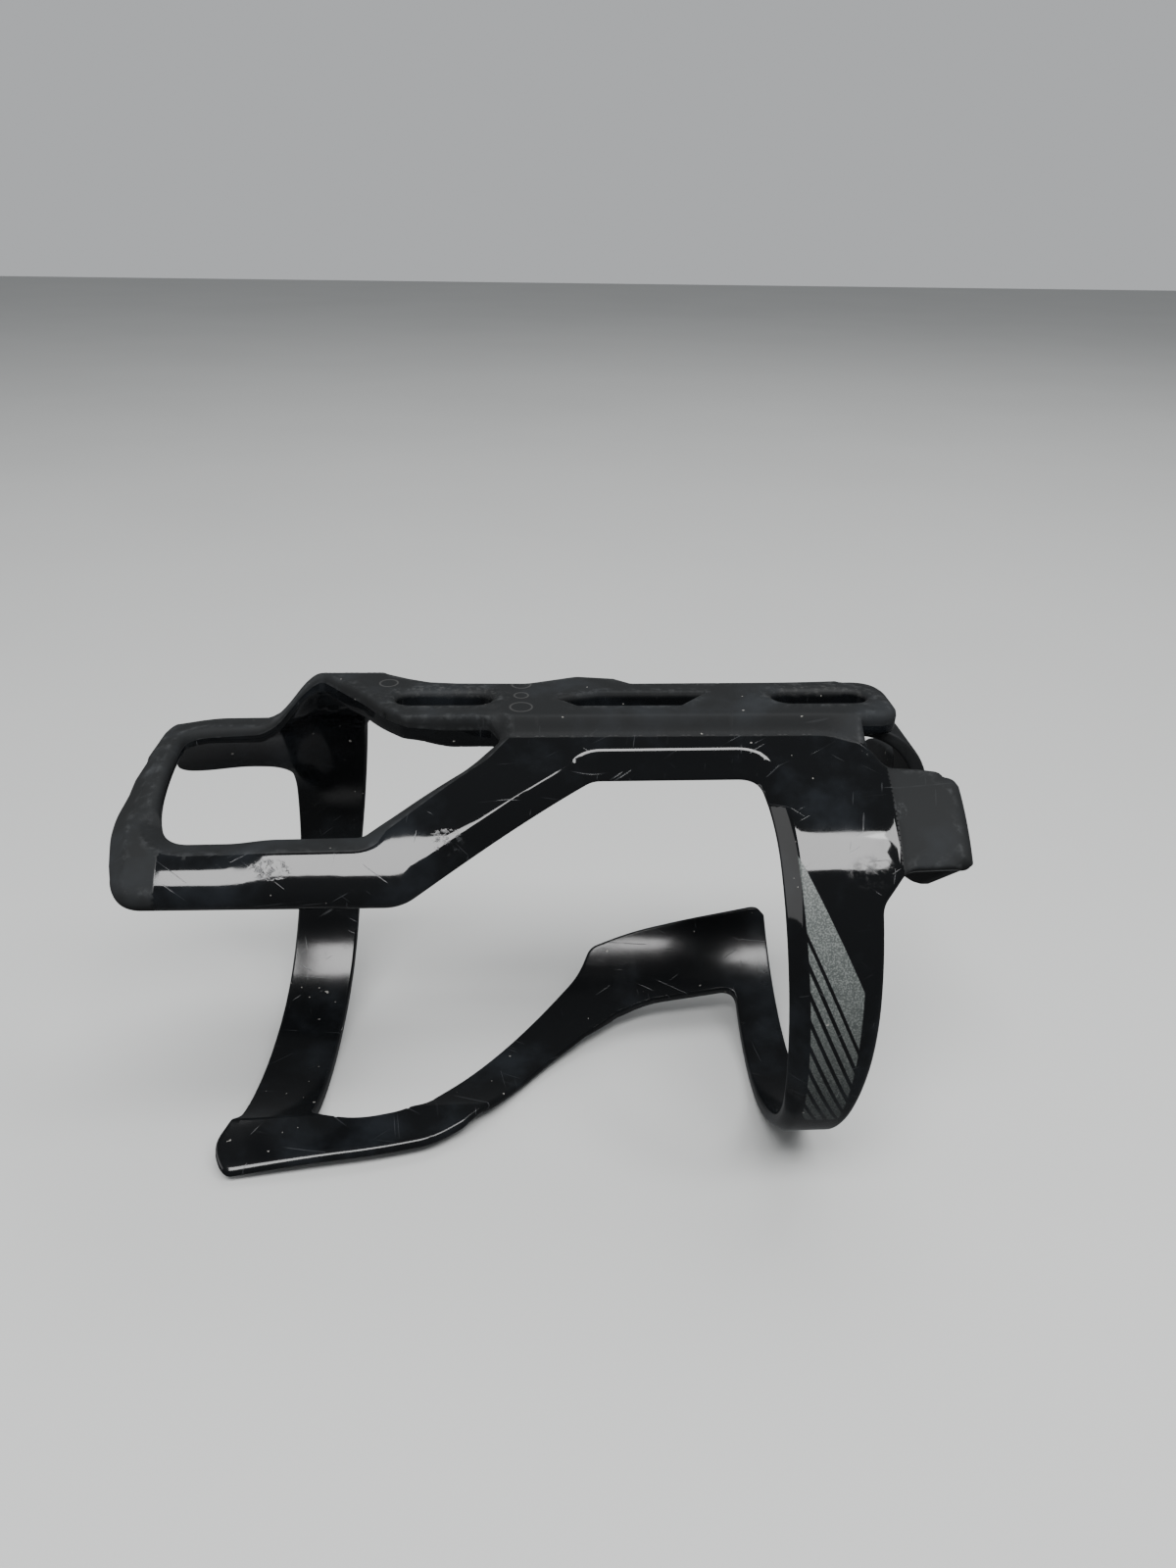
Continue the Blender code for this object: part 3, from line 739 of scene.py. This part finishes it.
def upright(points, low, high, axis):
    """A closed plate from a flat outline, its thickness along X or Y."""
    bm = bmesh.new()
    if axis == "X":
        verts = [bm.verts.new(Vector((low, u, v)) * MM) for u, v in points]
    else:
        verts = [bm.verts.new(Vector((u, low, v)) * MM) for u, v in points]
    face = bm.faces.new(verts)
    grown = bmesh.ops.extrude_face_region(bm, geom=[face])
    shift = Vector((high - low, 0, 0)) if axis == "X" else Vector((0, high - low, 0))
    moved = [item for item in grown["geom"] if isinstance(item, bmesh.types.BMVert)]
    bmesh.ops.translate(bm, verts=moved, vec=shift * MM)
    bmesh.ops.recalc_face_normals(bm, faces=bm.faces)
    return bm


def plate_piece(name, points, low, high, axis, edge, satin_value, materials):
    bm = upright(points, low, high, axis)
    sharp = [item for item in bm.edges if item.calc_face_angle(0.0) > math.radians(25)]
    bmesh.ops.bevel(bm, geom=sharp, offset=edge * MM, segments=4, profile=0.5, affect="EDGES")
    mesh = bpy.data.meshes.new(name + "_moulding")
    bm.to_mesh(mesh)
    bm.free()
    mesh.shade_smooth()
    mesh.set_sharp_from_angle(angle=math.radians(40))
    layer = mesh.attributes.new("satin", "FLOAT", "POINT")
    layer.data.foreach_set("value", np.full(len(mesh.vertices), satin_value, np.float32))
    mesh.attributes.new("wear_and_highlight_line", "FLOAT", "POINT")
    finish_piece(name, mesh, materials)


def arc(centre, radius, start, end, steps):
    turns = [math.radians(mix(start, end, step / steps)) for step in range(steps + 1)]
    return [(centre[0] + radius * math.cos(t), centre[1] + radius * math.sin(t)) for t in turns]


def smooth_path(points, steps):
    """A curve through every point, from the first to the last."""
    placed = [Vector(point) for point in points]
    padded = [placed[0], *placed, placed[-1]]
    curve = [tuple(placed[0])]
    for before, start, end, after in zip(padded, padded[1:], padded[2:], padded[3:]):
        for t in (step / steps for step in range(1, steps + 1)):
            first = (end - before) * t
            second = (2 * before - 5 * start + 4 * end - after) * t ** 2
            third = (3 * start - before - 3 * end + after) * t ** 3
            curve.append(tuple((2 * start + first + second + third) / 2))
    return curve


def foot_strap(materials):
    """The strap from under the spine's tongue round the bottle's base corner."""
    low, high = (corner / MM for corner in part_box("foot_strap"))
    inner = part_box("base_stop")[0].x / MM
    centre = (inner - FOOT_CORNER, low.z)
    points = [(low.x, high.z), (low.x, low.z + FOOT_CORNER)]
    points += arc(centre, FOOT_CORNER, 90, 0, 16)
    points += [(inner, low.z - STRAP_TAIL), (high.x, low.z - STRAP_TAIL)]
    reach = high.z - low.z
    points += arc((high.x - reach, centre[1]), reach, 0, 90, 16)
    plate_piece("foot_strap", points, low.y, high.y, "Y", STRAP_EDGE, STRAP_SATIN, materials)


def base_stop(materials):
    """The wall across the bottle's base, from the side arm to the strap."""
    low, high = (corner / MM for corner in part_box("base_stop"))
    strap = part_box("foot_strap")[1] / MM
    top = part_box("foot_strap")[0].z / MM - STRAP_GAP
    rim = OUTSIDE - 1.4
    points = [(-rim * math.sin(math.radians(a)), rim * math.cos(math.radians(a)) - FACE_HEIGHT)
              for a in np.linspace(27, 48.6, 9)]
    points += smooth_path(STOP_OUTLINE, 5)
    side = strap.y + STRAP_GAP
    points += [(side, -16), (side, top), (-3.9, top), (-3.9, -15), (-10, -11.6)]
    inner, outer = low.x + STOP_INSETS[0], high.x - STOP_INSETS[1]
    plate_piece("base_stop", points, inner, outer, "X", STOP_EDGE, STOP_SATIN, materials)


# ---- materials -------------------------------------------------------------------------------

STRIPE_SLOPE = 2.16            # arc length per millimetre of X
STRIPE_PITCH = 4.0
# places on the developed wall, as X and arc length, each with its size along both or its radius
SCUFFS = [((-57.0, 33.2), (3.6, 1.9)), ((-30.5, 29.0), (3.0, 2.4)), ((41.0, 24.0), (1.2, 3.0))]
BOLT_WEAR = [((-SLOT_SPACING / 2, 0.0), (12.5, 6.2)), ((SLOT_SPACING / 2, 0.0), (12.0, 6.0))]
FROSTED = ((35.2, 35.0), (4.6, 3.4))
PIN_MARKS = [((-19.0, -5.0), 1.8), ((-19.0, -0.3), 1.35), ((-19.0, 4.5), 2.0), ((-41.9, -5.9), 1.7)]
# families of scratches: heading in radians, spacing, and how rare they are
SCRATCHES = [(0.5, 0.34, 0.79), (-0.65, 0.30, 0.80), (1.4, 0.36, 0.80), (0.1, 0.40, 0.81)]
PLASTIC = ((0.0035, 0.0038, 0.0042, 1.0), (0.0050, 0.0058, 0.0064, 1.0))       # polished, matt
IOR = 1.5
SPECULAR_LEVEL = 0.38
FLOOR_TONES = ((0.44, 0.445, 0.44, 1.0), (0.48, 0.485, 0.48, 1.0))
FLOOR_ROUGHNESS = 0.7


class Recipe:
    """A material's node tree, built one node at a time."""

    def __init__(self, name):
        self.material = bpy.data.materials.new(name)
        self.material.use_nodes = True
        self.nodes = self.material.node_tree.nodes
        self.links = self.material.node_tree.links
        self.shader = self.nodes["Principled BSDF"]

    def add(self, kind, inputs=None, output=0, **settings):
        made = self.nodes.new(kind)
        for key, value in settings.items():
            setattr(made, key, value)
        for key, value in (inputs or {}).items():
            self.put(made.inputs[key], value)
        return made.outputs[output]

    def put(self, socket, value):
        if isinstance(value, bpy.types.NodeSocket):
            self.links.new(value, socket)
        else:
            socket.default_value = value

    def math(self, operation, a, b=0.0, c=0.0):
        return self.add("ShaderNodeMath", {0: a, 1: b, 2: c}, operation=operation)

    def between(self, value, low, high, start=0.0, end=1.0):
        """start below low, end above high, smooth between."""
        return self.add("ShaderNodeMapRange", {0: value, 1: low, 2: high, 3: start, 4: end},
                        interpolation_type="SMOOTHSTEP")

    def noise(self, vector, scale, detail=2.0, roughness=0.5):
        return self.add("ShaderNodeTexNoise", {"Vector": vector, "Scale": scale, "Detail": detail,
                                               "Roughness": roughness})

    def blend(self, factor, a, b):
        made = self.nodes.new("ShaderNodeMix")
        made.data_type = "RGBA"
        self.put(made.inputs[0], factor)
        self.put(made.inputs[6], a)
        self.put(made.inputs[7], b)
        return made.outputs[2]


def product(recipe, *values):
    total = values[0]
    for value in values[1:]:
        total = recipe.math("MULTIPLY", total, value)
    return total


def largest(recipe, *values):
    total = values[0]
    for value in values[1:]:
        total = recipe.math("MAXIMUM", total, value)
    return total


def developed(recipe, place):
    """X along the bottle, arc length round it and height, in millimetres."""
    split = recipe.nodes.new("ShaderNodeSeparateXYZ")
    recipe.put(split.inputs[0], place)
    height = recipe.math("ADD", split.outputs[2], FACE_HEIGHT - FACE_TOP)
    across = recipe.math("MULTIPLY", split.outputs[1], -1.0)
    turn = recipe.math("ARCTAN2", across, height)
    return split.outputs[0], recipe.math("MULTIPLY", turn, OUTSIDE), split.outputs[2]


def scratches(recipe, wall, heading, spacing, rarity):
    """Fine straight marks that all run one way over the developed wall, in some places only."""
    turned = recipe.add("ShaderNodeVectorRotate", {"Vector": wall, "Angle": heading},
                        rotation_type="Z_AXIS")
    stretching = (0.045, 1.0 / spacing, 0.3)
    drawn_out = recipe.add("ShaderNodeVectorMath", {0: turned, 1: stretching}, operation="MULTIPLY")
    lines = recipe.noise(drawn_out, 1.0, 0.0)
    fine = recipe.between(lines, rarity, rarity + 0.03)
    patches = recipe.between(recipe.noise(turned, 0.12, 2.0), 0.46, 0.62)
    return product(recipe, fine, patches)


def spot(recipe, x, arc_length, centre, size):
    """1 in the middle of an oval patch of the developed wall, 0 outside it."""
    u = recipe.math("DIVIDE", recipe.math("SUBTRACT", x, centre[0]), size[0])
    v = recipe.math("DIVIDE", recipe.math("SUBTRACT", arc_length, centre[1]), size[1])
    away = recipe.math("ADD", recipe.math("MULTIPLY", u, u), recipe.math("MULTIPLY", v, v))
    return recipe.between(away, 0.35, 1.0, 1.0, 0.0)


def ring_mark(recipe, x, arc_length, centre, radius):
    """1 on the thin circle that an ejector pin leaves, 0 elsewhere."""
    u = recipe.math("SUBTRACT", x, centre[0])
    v = recipe.math("SUBTRACT", arc_length, centre[1])
    squares = recipe.math("MULTIPLY", u, u), recipe.math("MULTIPLY", v, v)
    away = recipe.math("SQRT", recipe.math("ADD", *squares))
    return product(recipe, recipe.between(away, radius - 0.4, radius - 0.25),
                   recipe.between(away, radius - 0.1, radius + 0.05, 1.0, 0.0))


def printed_stripes(recipe, x, arc_length):
    """A slanted silver band on the ring and thin stripes beside it, fading downwards."""
    def within(value, start, low, high, end):
        return product(recipe, recipe.between(value, start, low),
                       recipe.between(value, high, end, 1.0, 0.0))

    slant = recipe.math("SUBTRACT", arc_length, recipe.math("MULTIPLY", x, STRIPE_SLOPE))
    band = within(slant, -19.5, -19.2, -9.3, -9.0)
    cycle = recipe.math("FRACT", recipe.math("DIVIDE", recipe.math("ADD", slant, 9.2), STRIPE_PITCH))
    line = product(recipe, within(cycle, 0.30, 0.36, 0.94, 1.0), within(slant, -9.2, -9.1, 22.6, 22.8))
    lean = recipe.math("MULTIPLY", recipe.math("SUBTRACT", arc_length, 31.0), 0.072)
    past_left = recipe.math("SUBTRACT", x, recipe.math("ADD", lean, 23.6))
    field = product(recipe, recipe.between(past_left, 0.0, 0.15),
                    recipe.between(x, 33.7, 33.9, 1.0, 0.0),
                    within(arc_length, 29.0, 29.2, 84.0, 84.2))
    fade = recipe.between(arc_length, 44.0, 84.0, 1.0, 0.3)
    return product(recipe, recipe.math("ADD", band, line), field, fade)


def moulded_plastic(name, gloss_colour, satin_colour):
    """Black plastic, polished or matt as the satin attribute says, handled and scratched, with a paler
    line painted along narrow matt edges that is partly wear and partly a painted highlight.
    """
    recipe = Recipe(name)
    own_place = recipe.add("ShaderNodeTexCoord", output=3)
    place = recipe.add("ShaderNodeVectorMath", {0: own_place, "Scale": 1.0 / MM}, operation="SCALE")
    x, around, height = developed(recipe, place)
    wall = recipe.add("ShaderNodeCombineXYZ", {"X": x, "Y": around, "Z": height})
    satin = recipe.add("ShaderNodeAttribute", attribute_name="satin", output=2)
    wear_and_highlight_line = recipe.add("ShaderNodeAttribute", attribute_name="wear_and_highlight_line", output=2)

    # what marks the surface, each 0 to 1
    haze = recipe.between(recipe.noise(place, 0.07, 4.0, 0.6), 0.45, 0.75)
    grain = recipe.noise(place, 2.6, 3.0, 0.65)
    marks = largest(recipe, *[scratches(recipe, wall, *scratch) for scratch in SCRATCHES])
    specks = recipe.between(recipe.noise(place, 1.1, 0.0), 0.865, 0.875)
    speckled = recipe.between(recipe.noise(place, 0.9, 4.0, 0.75), 0.5, 0.66)
    scuffed = largest(recipe, *[spot(recipe, x, around, *scuff) for scuff in SCUFFS])
    scuffs = product(recipe, speckled, scuffed)
    round_bolts = largest(recipe, *[spot(recipe, x, around, *worn) for worn in BOLT_WEAR])
    bolt_wear = product(recipe, satin, round_bolts)
    pins = largest(recipe, *[ring_mark(recipe, x, around, *pin) for pin in PIN_MARKS])
    frosted = product(recipe, spot(recipe, x, around, *FROSTED),
                      recipe.between(recipe.noise(place, 0.6, 4.0, 0.7), 0.42, 0.62))
    stripes = printed_stripes(recipe, x, around)
    patchy = recipe.between(recipe.noise(place, 0.5, 3.0, 0.7), 0.45, 0.7)
    # the paler edge line: partly edge wear, partly a painted highlight of light on a rounded edge
    worn_edge_and_highlight = product(recipe, satin, wear_and_highlight_line, patchy)
    marks_shown = product(recipe, marks, recipe.math("MULTIPLY_ADD", satin, -0.6, 1.0))
    flecks = recipe.between(recipe.noise(place, 4.0, 1.0, 0.4), 0.40, 0.68)
    silver = recipe.blend(flecks, (0.050, 0.057, 0.055, 1.0), (0.125, 0.135, 0.130, 1.0))

    colour = recipe.blend(satin, gloss_colour, satin_colour)
    for mask, strength, over in (
            (haze, 0.22, (0.030, 0.036, 0.044, 1.0)),
            (product(recipe, bolt_wear, speckled), 0.22, (0.075, 0.075, 0.072, 1.0)),
            (pins, 0.4, (0.06, 0.06, 0.058, 1.0)),
            (marks_shown, 0.2, (0.10, 0.104, 0.112, 1.0)),
            # pale colour of the edge line, partly wear and partly painted highlight
            (worn_edge_and_highlight, 0.14, (0.11, 0.115, 0.12, 1.0)),
            (scuffs, 0.13, (0.16, 0.17, 0.18, 1.0)),
            (stripes, 1.0, silver),
            (specks, 0.6, (0.30, 0.29, 0.27, 1.0))):
        colour = recipe.blend(product(recipe, mask, strength), colour, over)

    rough = recipe.math("MULTIPLY_ADD", satin, 0.77, 0.05)
    for mask, gain in ((haze, 0.04), (marks, 0.12), (scuffs, 0.25), (frosted, 0.13), (bolt_wear, -0.10),
                       (stripes, 0.42)):
        rough = recipe.math("MULTIPLY_ADD", mask, gain, rough)
    rough = recipe.math("MINIMUM", rough, 0.85)

    relief = recipe.math("MULTIPLY", grain, recipe.math("MULTIPLY_ADD", satin, 0.9, 0.02))
    for mask, height_gain in ((marks, -0.4), (scuffs, -0.8), (pins, -2.5),
                              (product(recipe, bolt_wear, speckled), -1.2),
                              (recipe.noise(place, 0.22, 1.0, 0.4), 1.1)):
        relief = recipe.math("MULTIPLY_ADD", mask, height_gain, relief)
    bent = recipe.add("ShaderNodeBump", {"Strength": 0.35, "Distance": 0.00006, "Height": relief})

    recipe.put(recipe.shader.inputs["Base Color"], colour)
    recipe.put(recipe.shader.inputs["Roughness"], rough)
    recipe.put(recipe.shader.inputs["Normal"], bent)
    recipe.shader.inputs["IOR"].default_value = IOR
    recipe.shader.inputs["Specular IOR Level"].default_value = SPECULAR_LEVEL
    return recipe.material


def floor_material():
    recipe = Recipe("pale_floor")
    place = recipe.add("ShaderNodeTexCoord", output=3)
    tone = recipe.noise(place, 6.0, 3.0, 0.5)
    recipe.put(recipe.shader.inputs["Base Color"], recipe.blend(tone, *FLOOR_TONES))
    recipe.shader.inputs["Roughness"].default_value = FLOOR_ROUGHNESS
    return recipe.material


# ---- studio ----------------------------------------------------------------------------------

CAMERA_PLACE = Vector((-17.7, -186.4, 73.7)) * MM
CAMERA_YAW, CAMERA_PITCH, CAMERA_ROLL = (math.radians(a) for a in (3.15, 25.83, -0.88))
CAMERA_LENS = 27.05
WORLD_COLOUR = (0.80, 0.82, 0.84, 1.0)
WORLD_STRENGTH = 0.6
WORLD_MIRRORED = 0.13          # the world's strength as reflections show it
# each light's name, direction from the object, distance in metres, size, watts, and whether
# reflections show it
LIGHTS = [
    ("window_light", (-0.003, -0.50, 0.866), 0.9, (0.66, 0.30), 12.0, True),
    ("second_window_light", (0.48, -0.36, 0.80), 0.9, (0.20, 0.26), 2.6, True),
    ("ceiling_light", (0.3, 0.4, 1.0), 1.4, (0.9, 0.9), 9.0, False),
    ("side_light", (-1.0, -0.12, 0.30), 0.8, (0.5, 0.4), 1.2, True)]


def camera():
    """Looks down on the cage's entry side; the 36 mm side of the sensor is upright."""
    ahead = Vector((math.sin(CAMERA_YAW) * math.cos(CAMERA_PITCH),
                    math.cos(CAMERA_YAW) * math.cos(CAMERA_PITCH), -math.sin(CAMERA_PITCH)))
    right = Vector((math.cos(CAMERA_YAW), -math.sin(CAMERA_YAW), 0.0))
    down = ahead.cross(right)
    level = right * math.cos(CAMERA_ROLL) + down * math.sin(CAMERA_ROLL)
    upward = right * math.sin(CAMERA_ROLL) - down * math.cos(CAMERA_ROLL)
    data = bpy.data.cameras.new("camera")
    data.lens = CAMERA_LENS
    data.sensor_width = 36.0
    data.clip_start = 0.005
    made = bpy.data.objects.new("camera", data)
    turned = Matrix((level, upward, -ahead)).transposed().to_4x4()
    made.matrix_world = Matrix.Translation(CAMERA_PLACE) @ turned
    bpy.context.scene.collection.objects.link(made)
    bpy.context.scene.camera = made


def floor():
    """A plain pale floor under the object, which reflections don't show."""
    bm = bmesh.new()
    bmesh.ops.create_grid(bm, x_segments=2, y_segments=2, size=3.0)
    bmesh.ops.translate(bm, verts=bm.verts, vec=(0, 0, cad_low.z))
    mesh = bpy.data.meshes.new("floor")
    bm.to_mesh(mesh)
    bm.free()
    mesh.materials.append(floor_material())
    made = bpy.data.objects.new("floor", mesh)
    made.visible_glossy = False
    bpy.context.scene.collection.objects.link(made)


def softbox(name, toward, distance, size, strength, mirrored):
    """A soft light on a line from the object, facing it."""
    data = bpy.data.lights.new(name, "AREA")
    data.shape = "RECTANGLE"
    data.size, data.size_y = size
    data.energy = strength
    made = bpy.data.objects.new(name, data)
    direction = Vector(toward).normalized()
    middle = (cad_low + cad_high) / 2
    made.location = middle + direction * distance
    made.rotation_euler = direction.to_track_quat("Z", "Y").to_euler()
    made.visible_glossy = mirrored
    bpy.context.scene.collection.objects.link(made)


def studio():
    """A pale room that reflections show only dimly, and the lights."""
    world = bpy.data.worlds.new("studio")
    bpy.context.scene.world = world
    world.use_nodes = True
    nodes, links = world.node_tree.nodes, world.node_tree.links
    shade = nodes["Background"]
    shade.inputs["Color"].default_value = WORLD_COLOUR
    path, strength = nodes.new("ShaderNodeLightPath"), nodes.new("ShaderNodeMapRange")
    strength.inputs["To Min"].default_value = WORLD_STRENGTH
    strength.inputs["To Max"].default_value = WORLD_MIRRORED
    links.new(path.outputs["Is Glossy Ray"], strength.inputs["Value"])
    links.new(strength.outputs["Result"], shade.inputs["Strength"])
    for light in LIGHTS:
        softbox(*light)


def main():
    materials = {slot: moulded_plastic(slot + "_plastic", *PLASTIC)
                 for slot in ("gloss_black", "matte_black")}
    wall_members(materials)
    foot_strap(materials)
    base_stop(materials)
    floor()
    studio()
    camera()


main()
